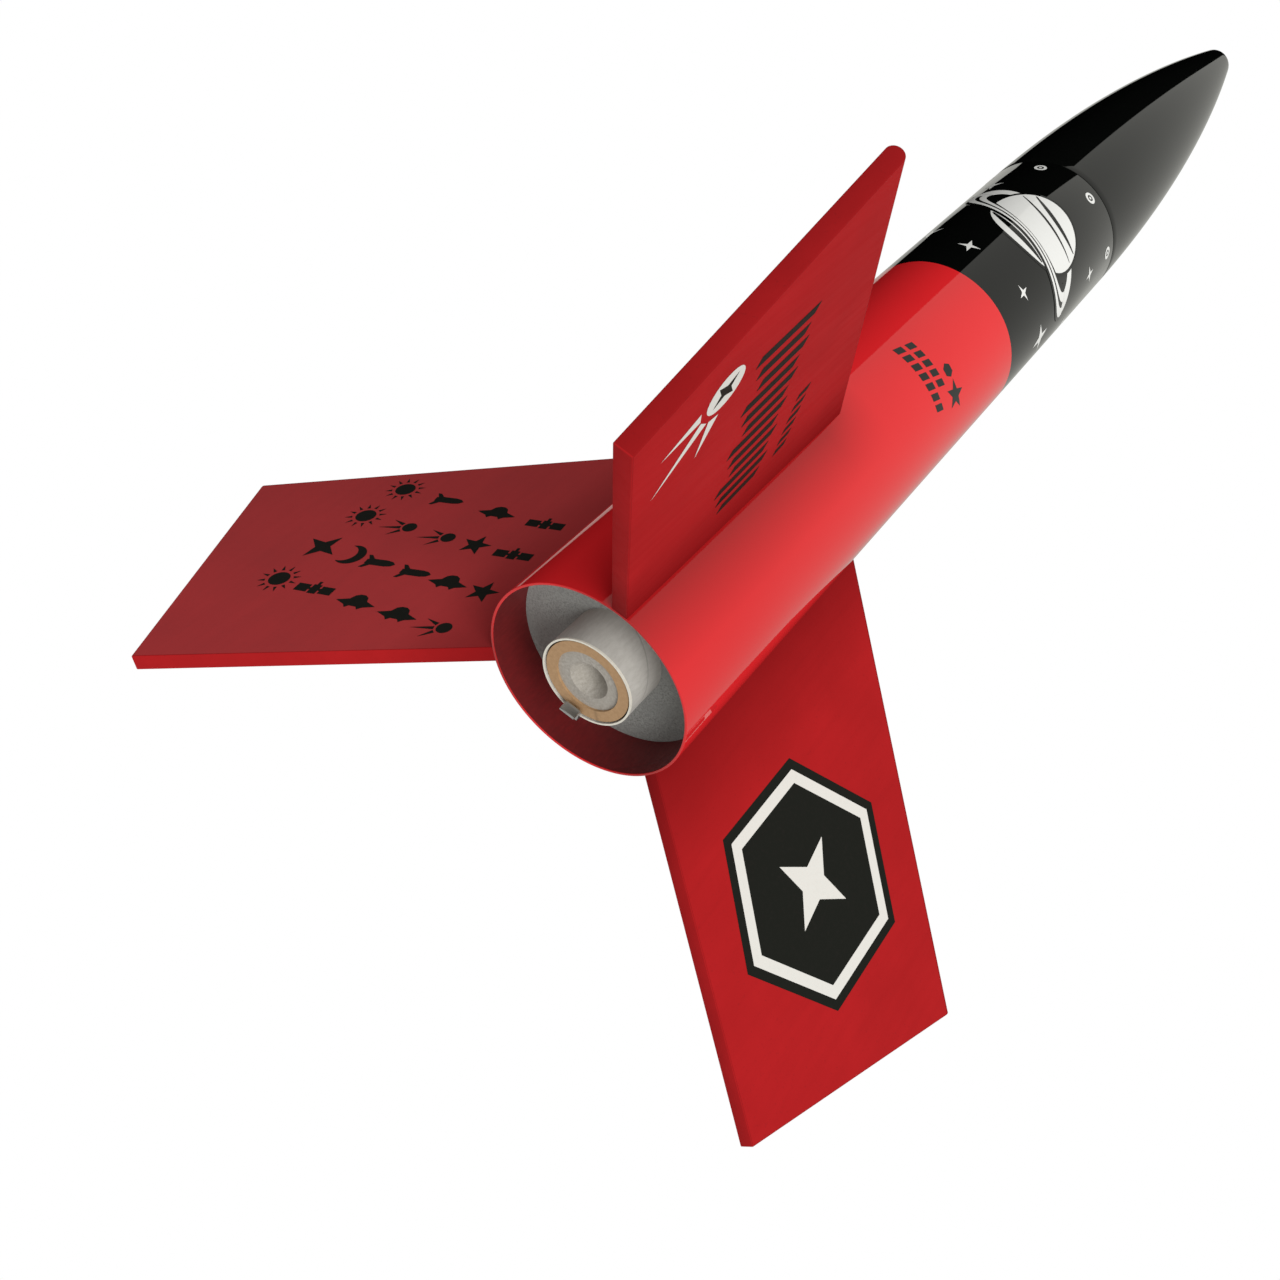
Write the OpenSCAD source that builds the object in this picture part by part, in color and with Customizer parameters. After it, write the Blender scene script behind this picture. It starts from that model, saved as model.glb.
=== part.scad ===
/* [Body tube] */
// Outside diameter of the body tube, mm
tube_d = 41.6; // [34:0.1:52]
// Wall of the body tube, mm
tube_wall = 0.53; // [0.4:0.01:1]
// Length of the body tube, mm
tube_l = 216; // [175:1:265]

/* [Nose cone] */
// Length of the nose cone above the seam, mm
nose_l = 171.7; // [140:0.1:210]
// Radius of the blunt tip, mm
nose_tip_r = 5.8; // [4:0.1:8]
// Wall of the moulded nose cone, mm
nose_wall = 1.5; // [1:0.1:2.5]
// Length of the shoulder inside the tube, mm
shoulder_l = 22; // [16:0.5:28]
// Radial clearance of the shoulder in the tube, mm
shoulder_fit = 0.07; // [0.01:0.01:0.1]
// Length of the clay weight in the tip, mm
weight_l = 30; // [15:1:50]

/* [Fins] */
// Thickness of each fin, mm
fin_t = 3.2; // [2:0.1:4.5]
// Length of the root glued to the tube, mm
fin_root_l = 76.7; // [55:0.1:95]
// Distance of the tip's rear corner from the axis, mm
fin_rear_r = 82.2; // [65:0.1:100]
// Drop of the tip's rear corner below the tail end, mm
fin_rear_drop = 28.4; // [0:0.1:40]
// Distance of the tip's front corner from the axis, mm
fin_front_r = 106.5; // [85:0.1:130]
// Height of the tip's front corner above the tail end, mm
fin_front_h = 27.4; // [10:0.1:50]
// Direction of the first fin about the axis, degrees
fin_az = 90; // [0:1:360]

/* [Motor mount] */
// Outside diameter of the motor mount tube, mm
mount_d = 18.7; // [15:0.1:26]
// Wall of the motor mount tube, mm
mount_wall = 0.35; // [0.3:0.01:0.8]
// Thickness of each centering ring, mm
ring_t = 3.2; // [2:0.1:4.5]
// Height of the aft ring above the tail end, mm
aft_ring_z = 9.5; // [6:0.1:15]
// Distance from the motor's front back to the forward ring, mm
fwd_ring_back = 10.2; // [8:0.1:20]
// Length of the thrust ring, mm
thrust_l = 4.6; // [3:0.1:8]
// Radial width of the thrust ring, mm
thrust_w = 2.5; // [1.5:0.1:4]

/* [Motor hook] */
// Width of the spring strip, mm
hook_w = 3.2; // [2.4:0.1:5]
// Thickness of the spring strip, mm
hook_t = 0.6; // [0.4:0.05:1]
// Reach of the two bends in towards the axis, mm
hook_reach = 3.2; // [2:0.1:4.5]
// Length of the finger lip behind the tail bend, mm
hook_lip = 2; // [1:0.1:5]
// Furthest outward flex of the strip, degrees
hook_flex = 4; // [2:0.1:5]
// Direction of the hook about the axis, degrees
hook_az = 30; // [0:1:360]
// Length of the band that holds the hook, mm
band_l = 6; // [4:0.5:12]

/* [Motor] */
// Length of the motor casing, mm
case_l = 70; // [50:0.5:90]
// Wall of the motor casing, mm
case_wall = 2.2; // [1.5:0.1:3]
// Depth of the nozzle's clay, mm
nozzle_l = 9; // [6:0.5:14]
// Radius of the nozzle's throat, mm
throat_r = 1.6; // [1:0.1:2.5]
// Radius of the nozzle's flared mouth, mm
mouth_r = 4; // [2.5:0.1:5]
// Length of the delay grain, mm
delay_l = 18; // [8:0.5:24]
// Length of the ejection charge, mm
charge_l = 7; // [4:0.5:9]
// Thickness of the clay cap, mm
cap_l = 2.5; // [1.5:0.1:4]
// Depth of the clay cap behind the casing's front, mm
cap_recess = 4; // [1:0.5:8]

/* [Launch lug] */
// Bore of the launch lug, mm
lug_bore_d = 4; // [3:0.1:7]
// Wall of the launch lug, mm
lug_wall = 0.3; // [0.25:0.05:0.8]
// Length of the launch lug, mm
lug_l = 60; // [30:1:70]
// Direction of the launch lug about the axis, degrees
lug_az = 30; // [0:1:360]

/* [Recovery gear] */
// Length of the packed wadding, mm
wadding_l = 25; // [15:1:40]
// Thickness of the folded paper shock cord mount, mm
cord_mount_t = 1.5; // [1:0.1:2.5]
// Width of the shock cord mount, mm
cord_mount_w = 16; // [10:0.5:24]
// Length of the shock cord mount, mm
cord_mount_l = 28; // [20:1:40]

/* [Hidden] */
$fn = 96;
fine_fn = 288;
gap = 0.3;
cut = 1;

tube_r = tube_d / 2;
bore_r = tube_r - tube_wall;
seam_z = tube_l + gap;
shoulder_r = bore_r - shoulder_fit;
shoulder_in_r = shoulder_r - nose_wall;
shoulder_z = tube_l - shoulder_l;

// The nose is an ogive tangent to the tube, blunted by a ball tangent to the ogive.
ball_x = nose_l - nose_tip_r;
ogive_r = (ball_x * ball_x + tube_r * tube_r - nose_tip_r * nose_tip_r) / (2 * (tube_r - nose_tip_r));
meet_x = ball_x * ogive_r / (ogive_r - nose_tip_r);
meet_r = (ogive_r - tube_r) * nose_tip_r / (ogive_r - nose_tip_r);
meet_angle = atan2(meet_r, meet_x - ball_x);
ogive_steps = 26;
ball_steps = 7;
function ogive(x) = sqrt(ogive_r * ogive_r - x * x) + tube_r - ogive_r;
hollow_x = ball_x - nose_tip_r / 2;
base_t = 3;
loop_r = 4;
loop_wire_r = 1.1;
loop_z = shoulder_z - loop_r + loop_wire_r;
weight_x = hollow_x - weight_l;

// Fin outline in distance from the axis and height.
fin_count = 3;
fin_step = 360 / fin_count;
root_in = bore_r;
rear_slope = -fin_rear_drop / (fin_rear_r - tube_r);
edge_r = fin_front_r - tube_r;
edge_h = fin_front_h - fin_root_l;
edge_l = norm([edge_r, edge_h]);
edge_angle = atan2(edge_r, edge_h);
tip_r = fin_front_r - fin_rear_r;
tip_h = fin_front_h + fin_rear_drop;
tip_over = 2 * cut / norm([tip_r, tip_h]);
nose_edge_r = fin_t / 2;
edge_round = 1.03;

mount_r = mount_d / 2;
mount_bore_r = mount_r - mount_wall;
case_r = mount_bore_r - gap;
case_in_r = case_r - case_wall;
motor_z = 0.2;
nozzle_recess = 0.5;
nozzle_z = motor_z + nozzle_recess;
grain_z = nozzle_z + nozzle_l;
// The propellant takes what the other charges leave of the casing.
grain_l = case_l - nozzle_recess - nozzle_l - delay_l - charge_l - cap_l - cap_recess;
delay_z = grain_z + grain_l;
charge_z = delay_z + delay_l;
cap_z = charge_z + charge_l;
flare_l = nozzle_l / 2;
core_l = grain_l / 5;
front_z = motor_z + case_l;
bend_z = front_z + gap;
thrust_z = bend_z + hook_t + gap;
mount_l = thrust_z + thrust_l;
fwd_ring_z = front_z - fwd_ring_back;
band_z = fwd_ring_z - band_l - 2;

hook_in_r = mount_r + gap;
hook_out_r = hook_in_r + hook_t;
tang_z = -2 * gap - hook_t + motor_z;
hook_bend_r = hook_in_r - hook_reach;
notch_w = hook_w + 2 * gap;
flex_out = (band_z - aft_ring_z) * tan(hook_flex);
band_cover = 0.5;

lug_r = lug_bore_d / 2 + lug_wall;
lug_stand = 0.2;
lug_x = tube_r + lug_stand + lug_r;
lug_z = fin_root_l + 1.3;
glue_w = lug_r;

wadding_z = mount_l + 2.5;
wadding_r = bore_r - cord_mount_t - 1;
chute_z = wadding_z + wadding_l + 2;
chute_top = loop_z - loop_r - loop_wire_r - 2;
chute_l = chute_top - chute_z;
chute_r = wadding_r - 0.8;
soft_round = 3;
cord_mount_z = shoulder_z - 6 - cord_mount_l;
cord_mount_az = 270;
cord_slot_w = 3;
cord_slot_t = cord_mount_t / 2;

module ring(outer_r, inner_r, z, l) {
    translate([0, 0, z]) difference() {
        cylinder(r = outer_r, h = l);
        translate([0, 0, -cut]) cylinder(r = inner_r, h = l + 2 * cut);
    }
}

module body_tube() {
    color([0.82, 0.10, 0.12]) ring(tube_r, bore_r, 0, tube_l);
}

// Thick board cut square at the tip and tail, with the leading edge sanded round.
module fin(index) {
    color([0.68, 0.09, 0.11]) rotate([0, 0, fin_az + index * fin_step]) difference() {
        intersection() {
            rotate([90, 0, 0]) linear_extrude(height = fin_t, center = true)
                polygon([[root_in, rear_slope * (root_in - tube_r)],
                         [fin_rear_r, -fin_rear_drop],
                         [fin_front_r + tip_r * tip_over, fin_front_h + tip_h * tip_over],
                         [root_in, fin_root_l + 3 * cut]]);
            translate([tube_r, 0, fin_root_l]) rotate([0, edge_angle, 0])
                translate([0, 0, -10 * cut]) linear_extrude(height = edge_l + 20 * cut) {
                    translate([nose_edge_r, -fin_t]) square([2 * fin_root_l, 2 * fin_t]);
                    translate([nose_edge_r * edge_round, 0]) circle(r = nose_edge_r * edge_round);
                }
        }
        translate([0, 0, -fin_rear_drop - cut])
            cylinder(r = tube_r, h = fin_root_l + fin_rear_drop + 5 * cut);
    }
}
module fin_1() { fin(0); }
module fin_2() { fin(1); }
module fin_3() { fin(2); }

module launch_lug() {
    color([0.80, 0.10, 0.12]) rotate([0, 0, lug_az]) translate([lug_x, 0, 0])
        ring(lug_r, lug_bore_d / 2, lug_z, lug_l);
}

// Bead of glue that joins the lug to the tube.
module lug_glue() {
    color([0.75, 0.10, 0.12]) rotate([0, 0, lug_az]) difference() {
        translate([tube_r - cut, -glue_w / 2, lug_z + 2]) cube([cut + lug_r, glue_w, lug_l - 4]);
        translate([0, 0, lug_z]) cylinder(r = tube_r, h = lug_l, $fn = fine_fn);
        translate([lug_x, 0, lug_z]) cylinder(r = lug_r, h = lug_l, $fn = fine_fn);
    }
}

module motor_mount_tube() {
    color([0.86, 0.85, 0.82]) difference() {
        ring(mount_r, mount_bore_r, 0, mount_l);
        rotate([0, 0, hook_az]) translate([0, -notch_w / 2, front_z])
            cube([mount_r + cut, notch_w, thrust_z - front_z]);
    }
}

module centering_ring(z, notch_r) {
    color([0.45, 0.44, 0.42]) difference() {
        ring(bore_r, mount_r, z, ring_t);
        rotate([0, 0, hook_az]) translate([0, -notch_w / 2, z - cut])
            cube([notch_r, notch_w, ring_t + 2 * cut]);
    }
}
module aft_centering_ring() { centering_ring(aft_ring_z, hook_out_r + flex_out + gap); }
module forward_centering_ring() { centering_ring(fwd_ring_z, hook_out_r + gap); }

module thrust_ring() {
    color([0.72, 0.62, 0.45]) ring(mount_bore_r, mount_bore_r - thrust_w, thrust_z, thrust_l);
}

module hook_band() {
    color([0.90, 0.88, 0.80]) difference() {
        ring(hook_out_r + gap + band_cover, mount_r, band_z, band_l);
        rotate([0, 0, hook_az]) translate([0, -notch_w / 2, band_z - cut])
            cube([hook_out_r + gap, notch_w, band_l + 2 * cut]);
    }
}

// Folded card glued to the bore, with the slot the shock cord comes out of.
module shock_cord_mount() {
    color([0.88, 0.86, 0.78]) rotate([0, 0, cord_mount_az]) intersection() {
        difference() {
            ring(bore_r, bore_r - cord_mount_t, cord_mount_z, cord_mount_l);
            translate([0, -cord_slot_w / 2, cord_mount_z + cord_mount_l / 2])
                cube([bore_r - cord_mount_t + cord_slot_t, cord_slot_w, cord_mount_l]);
        }
        translate([0, -cord_mount_w / 2, cord_mount_z - cut])
            cube([tube_r, cord_mount_w, cord_mount_l + 2 * cut]);
    }
}

module motor_hook() {
    color([0.62, 0.63, 0.65]) rotate([0, 0, hook_az]) translate([0, -hook_w / 2, 0]) {
        translate([hook_in_r, 0, tang_z]) cube([hook_t, hook_w, bend_z + hook_t - tang_z]);
        translate([hook_bend_r, 0, bend_z]) cube([hook_reach + hook_t, hook_w, hook_t]);
        translate([hook_bend_r, 0, tang_z]) cube([hook_reach + hook_t, hook_w, hook_t]);
        translate([hook_bend_r, 0, tang_z - hook_lip]) cube([hook_t, hook_w, hook_lip + hook_t]);
    }
}

module nose_cone() {
    outer = [for (i = [0 : ogive_steps]) let (x = meet_x * i / ogive_steps) [ogive(x), seam_z + x]];
    tip = [for (i = [1 : ball_steps]) let (a = meet_angle * (1 - i / ball_steps))
           [nose_tip_r * sin(a), seam_z + ball_x + nose_tip_r * cos(a)]];
    inner = [for (i = [ogive_steps : -1 : 1]) let (x = hollow_x * i / ogive_steps)
             [ogive(x) - nose_wall, seam_z + x]];
    color([0.03, 0.03, 0.035]) rotate_extrude() polygon(concat(
        [[shoulder_in_r, shoulder_z], [shoulder_r, shoulder_z], [shoulder_r, seam_z]],
        outer, tip, [[0, seam_z + hollow_x]], inner, [[shoulder_in_r, seam_z]]));
}

// Plug in the shoulder with the moulded loop the shock cord ties to.
module nose_base() {
    color([0.05, 0.05, 0.055]) {
        translate([0, 0, shoulder_z]) cylinder(r = shoulder_in_r, h = base_t);
        translate([0, 0, loop_z]) rotate([90, 0, 0]) rotate_extrude()
            translate([loop_r, 0]) circle(r = loop_wire_r);
    }
}

module nose_weight() {
    steps = 8;
    side = [for (i = [0 : steps]) let (x = weight_x + (hollow_x - weight_x) * i / steps)
            [ogive(x) - nose_wall - 0.05, seam_z + x - 0.1]];
    color([0.46, 0.40, 0.33]) rotate_extrude() polygon(concat(
        [[0, seam_z + weight_x - 0.1]], side, [[0, seam_z + hollow_x - 0.1]]));
}

module soft_roll(r, z, l) {
    translate([0, 0, z]) rotate_extrude() polygon([[0, 0], [r - soft_round, 0],
        [r - soft_round / 3, soft_round / 3], [r, soft_round], [r, l - soft_round],
        [r - soft_round / 3, l - soft_round / 3], [r - soft_round, l], [0, l]]);
}
module parachute_pack() { color([0.95, 0.45, 0.10]) soft_roll(chute_r, chute_z, chute_l); }
module recovery_wadding() { color([0.93, 0.93, 0.90]) soft_roll(wadding_r, wadding_z, wadding_l); }

module motor_casing() {
    color([0.70, 0.52, 0.34]) ring(case_r, case_in_r, motor_z, case_l);
}

module motor_nozzle() {
    color([0.62, 0.60, 0.57]) rotate_extrude() polygon([
        [throat_r, grain_z], [case_in_r, grain_z], [case_in_r, nozzle_z],
        [mouth_r, nozzle_z], [throat_r, nozzle_z + flare_l]]);
}

module propellant_grain() {
    color([0.08, 0.08, 0.08]) difference() {
        translate([0, 0, grain_z]) cylinder(r = case_in_r, h = grain_l);
        translate([0, 0, grain_z - cut]) cylinder(r = throat_r, h = core_l + cut);
    }
}

module plug(z, l) {
    translate([0, 0, z]) cylinder(r = case_in_r, h = l);
}
module delay_grain() { color([0.30, 0.28, 0.26]) plug(delay_z, delay_l); }
module ejection_charge() { color([0.12, 0.12, 0.12]) plug(charge_z, charge_l); }
module motor_clay_cap() { color([0.70, 0.66, 0.60]) plug(cap_z, cap_l); }

body_tube();
fin_1();
fin_2();
fin_3();
launch_lug();
lug_glue();
motor_mount_tube();
aft_centering_ring();
forward_centering_ring();
thrust_ring();
hook_band();
shock_cord_mount();
motor_hook();
nose_cone();
nose_base();
nose_weight();
parachute_pack();
recovery_wadding();
motor_casing();
motor_nozzle();
propellant_grain();
delay_grain();
ejection_charge();
motor_clay_cap();
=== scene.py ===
import math

import bmesh
import bpy
from mathutils import Matrix, Vector, noise
from mathutils.geometry import delaunay_2d_cdt


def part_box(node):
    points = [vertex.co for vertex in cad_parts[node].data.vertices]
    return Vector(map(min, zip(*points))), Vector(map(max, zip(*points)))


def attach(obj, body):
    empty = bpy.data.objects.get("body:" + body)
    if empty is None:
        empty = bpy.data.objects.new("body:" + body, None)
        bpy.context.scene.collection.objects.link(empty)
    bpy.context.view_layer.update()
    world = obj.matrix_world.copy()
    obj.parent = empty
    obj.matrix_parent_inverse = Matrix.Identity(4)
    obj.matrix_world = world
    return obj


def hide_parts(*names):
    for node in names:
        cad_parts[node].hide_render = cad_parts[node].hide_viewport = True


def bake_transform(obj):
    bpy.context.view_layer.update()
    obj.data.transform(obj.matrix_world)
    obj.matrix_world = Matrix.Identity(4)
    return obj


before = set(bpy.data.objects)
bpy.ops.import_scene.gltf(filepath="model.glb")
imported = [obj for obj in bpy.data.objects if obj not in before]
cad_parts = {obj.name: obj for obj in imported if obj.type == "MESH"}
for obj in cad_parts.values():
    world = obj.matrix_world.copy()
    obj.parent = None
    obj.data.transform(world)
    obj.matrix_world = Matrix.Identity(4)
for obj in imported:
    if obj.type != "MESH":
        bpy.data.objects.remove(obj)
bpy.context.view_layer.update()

MM = 0.001
TAU = 2 * math.pi

# ---------------------------------------------------------------- sizes from the frame
tube_lo, tube_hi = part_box("body_tube")
TUBE_R = (tube_hi.x - tube_lo.x) / 2
TUBE_L = tube_hi.z
TUBE_WALL = 0.53 * MM
BORE_R = TUBE_R - TUBE_WALL
nose_lo, nose_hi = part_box("nose_cone")
FIN_LO, FIN_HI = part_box("fin_1")
FIN_T = FIN_HI.x - FIN_LO.x
chute_lo, chute_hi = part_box("parachute_pack")
wad_lo, wad_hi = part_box("recovery_wadding")
hook_lo, hook_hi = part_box("motor_hook")
mount_lo, mount_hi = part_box("motor_mount_tube")
MOUNT_R = (mount_hi.x - mount_lo.x) / 2
PAINT_LINE = 143.3 * MM
SEAM_Z = TUBE_L + 0.3 * MM
FIN_AZ = {"fin_1": 90, "fin_2": 210, "fin_3": 330}
HOOK_AZ = 30


# ---------------------------------------------------------------- node helpers
class Nodes:
    """A principled material and short calls for the nodes that feed it."""

    def __init__(self, name):
        self.mat = bpy.data.materials.new(name)
        self.mat.use_nodes = True
        self.tree = self.mat.node_tree
        self.bsdf = next(n for n in self.tree.nodes if n.type == "BSDF_PRINCIPLED")
        self.coord = self.tree.nodes.new("ShaderNodeTexCoord").outputs["Object"]

    def link(self, a, b):
        self.tree.links.new(a, b)

    def put(self, socket, value):
        if isinstance(value, bpy.types.NodeSocket):
            self.link(value, socket)
        else:
            socket.default_value = value

    def math(self, op, *values):
        n = self.tree.nodes.new("ShaderNodeMath")
        n.operation = op
        for i, v in enumerate(values):
            self.put(n.inputs[i], v)
        return n.outputs[0]

    def scaled(self, scale):
        n = self.tree.nodes.new("ShaderNodeMapping")
        self.link(self.coord, n.inputs["Vector"])
        n.inputs["Scale"].default_value = scale
        return n.outputs[0]

    def noise(self, per_mm, detail=3.0, rough=0.55, stretch=(1, 1, 1), distortion=0.0):
        n = self.tree.nodes.new("ShaderNodeTexNoise")
        self.link(self.scaled([s / MM for s in stretch]), n.inputs["Vector"])
        n.inputs["Scale"].default_value = per_mm
        n.inputs["Detail"].default_value = detail
        n.inputs["Roughness"].default_value = rough
        n.inputs["Distortion"].default_value = distortion
        return n.outputs["Fac"]

    def cells(self, per_mm):
        n = self.tree.nodes.new("ShaderNodeTexVoronoi")
        self.link(self.scaled([1 / MM] * 3), n.inputs["Vector"])
        n.inputs["Scale"].default_value = per_mm
        return n.outputs["Distance"]

    def ramp(self, value, low, high, out_low=0.0, out_high=1.0):
        n = self.tree.nodes.new("ShaderNodeMapRange")
        self.put(n.inputs["Value"], value)
        n.inputs["From Min"].default_value = low
        n.inputs["From Max"].default_value = high
        n.inputs["To Min"].default_value = out_low
        n.inputs["To Max"].default_value = out_high
        return n.outputs["Result"]

    def mix(self, factor, a, b):
        n = self.tree.nodes.new("ShaderNodeMix")
        n.data_type = "RGBA"
        self.put(n.inputs[0], factor)
        self.put(n.inputs[6], rgba(a) if isinstance(a, tuple) else a)
        self.put(n.inputs[7], rgba(b) if isinstance(b, tuple) else b)
        return n.outputs[2]

    def bump(self, height, depth_mm):
        n = self.tree.nodes.new("ShaderNodeBump")
        n.inputs["Distance"].default_value = depth_mm * MM
        n.inputs["Strength"].default_value = 1.0
        self.link(height, n.inputs["Height"])
        return n.outputs["Normal"]

    def xyz(self):
        n = self.tree.nodes.new("ShaderNodeSeparateXYZ")
        self.link(self.coord, n.inputs[0])
        return n.outputs

    def from_axis(self):
        """Distance from the Z axis, in metres."""
        place = self.xyz()
        squares = [self.math("MULTIPLY", place[i], place[i]) for i in (0, 1)]
        return self.math("SQRT", self.math("ADD", *squares))

    def turn(self):
        """Direction about the Z axis, in turns."""
        place = self.xyz()
        return self.math("DIVIDE", self.math("ARCTAN2", place[1], place[0]), TAU)

    def spiral(self, pitch_mm, width):
        """1 on a thin helical line about the Z axis, 0 elsewhere."""
        along = self.math("ADD", self.math("DIVIDE", self.xyz()[2], pitch_mm * MM), self.turn())
        saw = self.math("PINGPONG", along, 0.5)
        return self.ramp(saw, 0.0, width, 1.0, 0.0)

    def finish(self, color=None, rough=None, normal=None, **fixed):
        b = self.bsdf.inputs
        if color is not None:
            self.put(b["Base Color"], rgba(color) if isinstance(color, tuple) else color)
        if rough is not None:
            self.put(b["Roughness"], rough)
        if normal is not None:
            self.link(normal, b["Normal"])
        for key, value in fixed.items():
            b[key.replace("_", " ")].default_value = value
        return self.mat


def rgba(c):
    return (c[0], c[1], c[2], 1.0)


# How far the painted shade at a fin's root reaches, round the tube and out along the fin.
TUBE_ROOT_SHADE = 13 * MM
FIN_ROOT_SHADE = 19 * MM


def gloss_paint(name, base, deep, peel=0.0025, shading=None):
    """Sprayed gloss enamel under clear coat. shading(nodes, color) may paint shade into the colour by place.
    """
    n = Nodes(name)
    drift = n.ramp(n.noise(0.03, 4), 0.3, 0.7)
    dust_and_painted_sheen = n.ramp(n.cells(0.9), 0.0, 0.045, 1.0, 0.0)
    color = n.mix(n.math("MULTIPLY", drift, 0.5), base, deep)
    if shading:
        color = shading(n, color)
    wave = n.noise(0.35, 2)
    grain = n.noise(2.2, 3)
    height = n.math("ADD", wave, n.math("MULTIPLY", grain, 0.25))
    height = n.math("ADD", height, n.math("MULTIPLY", dust_and_painted_sheen, 0.35))
    return n.finish(color, n.ramp(grain, 0.2, 0.8, 0.26, 0.36), n.bump(height, peel),
                    Coat_Weight=1.0, Coat_Roughness=0.03, Specular_IOR_Level=0.0, Coat_IOR=1.5)


def tube_shading(n, color):
    """Painted shade: darker and duller towards the tail, and darker along the roots of the fins."""
    height = n.xyz()[2]
    girth = TAU * TUBE_R
    # Painted shade along each fin's root, fading round the tube and above the top of the root.
    from_fin = n.math("PINGPONG", n.math("SUBTRACT", n.turn(), FIN_AZ["fin_1"] / 360), 0.5 / len(FIN_AZ))
    fin_face = FIN_T / 2 / girth
    painted_root_shade = n.ramp(from_fin, fin_face, fin_face + TUBE_ROOT_SHADE / girth, 0.58, 0.0)
    painted_root_shade = n.math("MULTIPLY", painted_root_shade, n.ramp(height, 68 * MM, 84 * MM, 1.0, 0.0))
    # Painted shade that deepens towards the tail.
    painted_tail_shade = n.ramp(height, 20 * MM, 130 * MM, 0.75, 0.0)
    color = n.mix(painted_tail_shade, color, (0.66, 0.016, 0.020))
    return n.mix(painted_root_shade, color, (0.22, 0.006, 0.007))


def fin_paint(name, shade=1.0, dust_and_painted_sheen=0.0):
    """Satin paint brushed over sealed board: grain streaks, rubbed specks, and painted shade darkening the
    root.
    """
    # Each level is scaled by shade, painted shade on the fins' edges, and lifted by an even amount, a painted
    # grey reflection on fin_1.
    def red(*levels):
        return tuple(shade * level + dust_and_painted_sheen for level in levels)
    n = Nodes(name)
    streak = n.noise(0.5, 5, stretch=(1, 1, 0.09))
    mottling = n.noise(0.06, 4)
    speck = n.ramp(n.noise(1.6, 2, 0.7), 0.62, 0.74)
    color = n.mix(n.ramp(mottling, 0.3, 0.7), red(0.45, 0.0150, 0.0170), red(0.40, 0.0135, 0.0150))
    color = n.mix(n.math("MULTIPLY", n.ramp(streak, 0.45, 0.75), 0.22), color, red(0.34, 0.0120, 0.0135))
    color = n.mix(n.math("MULTIPLY", speck, 0.35), color, red(0.26, 0.013, 0.0145))
    # Painted shade: the fin darkens towards its root.
    root = n.ramp(n.from_axis(), TUBE_R, TUBE_R + FIN_ROOT_SHADE, 0.57, 0.0)
    color = n.mix(root, color, (0.13, 0.004, 0.005))
    height = n.math("ADD", n.math("MULTIPLY", streak, 1.2), n.math("MULTIPLY", speck, -0.4))
    return n.finish(color, n.ramp(streak, 0.2, 0.8, 0.50, 0.64), n.bump(height, 0.014),
                    Specular_IOR_Level=0.02)


def paper(name, base, deep, pitch=18.0, rough=0.8, line=0.5):
    """Spiral-wound paper with fibres and the faint helical joint."""
    n = Nodes(name)
    fibre = n.noise(1.2, 5, 0.7, stretch=(1, 1, 0.35))
    joint = n.spiral(pitch, 0.012)
    color = n.mix(n.ramp(fibre, 0.3, 0.75), base, deep)
    color = n.mix(n.math("MULTIPLY", joint, line), color, tuple(0.55 * v for v in deep))
    height = n.math("SUBTRACT", fibre, n.math("MULTIPLY", joint, 0.8))
    return n.finish(color, n.ramp(fibre, 0.2, 0.8, rough - 0.08, rough + 0.08), n.bump(height, 0.03))


def speckled(name, base, deep, light, per_mm=2.4, rough=0.85, depth=0.05):
    """Fibreboard or pressed clay: fine light and dark grains."""
    n = Nodes(name)
    grain = n.noise(per_mm, 4, 0.8)
    broad = n.noise(0.16, 3)
    color = n.mix(n.ramp(grain, 0.36, 0.62), deep, light)
    color = n.mix(n.ramp(broad, 0.35, 0.7, 0.25, 0.75), color, base)
    roughness = n.ramp(grain, 0.3, 0.7, rough - 0.1, min(1.0, rough + 0.1))
    return n.finish(color, roughness, n.bump(grain, depth), Specular_IOR_Level=0.25)


def print_ink(name, base, worn, coat=0.0):
    """Printed decal film: flat ink with a little wear. coat=1 puts it under the tube's clear coat."""
    n = Nodes(name)
    wear = n.ramp(n.noise(1.1, 4, 0.7), 0.52, 0.72)
    color = n.mix(n.math("MULTIPLY", wear, 0.3), base, worn)
    return n.finish(color, n.ramp(wear, 0, 1, 0.42, 0.6), n.bump(n.noise(2.5, 2), 0.003),
                    Specular_IOR_Level=0.01 * (1 - coat), Coat_Weight=coat, Coat_Roughness=0.03)


# The tube's red takes painted shade at the tail and along the fins' roots.
RED = gloss_paint("red_gloss_paint", (0.86, 0.022, 0.027), (0.80, 0.020, 0.025), shading=tube_shading)
LUG_RED = gloss_paint("red_gloss_lug", (0.80, 0.020, 0.025), (0.74, 0.018, 0.023))
BLACK = gloss_paint("black_gloss_paint", (0.0026, 0.0030, 0.0026), (0.0018, 0.0020, 0.0018))
NOSE_BLACK = gloss_paint("black_gloss_plastic", (0.0030, 0.0034, 0.0030),
                         (0.0020, 0.0024, 0.0020), 0.0015)
RED_FIN = fin_paint("red_satin_fin")
# The fins' round and tip edges: the fin paint darkened as painted shade.
RED_FIN_SHADED_EDGE = fin_paint("red_satin_fin_edge_painted_shade", 0.74)
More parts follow.
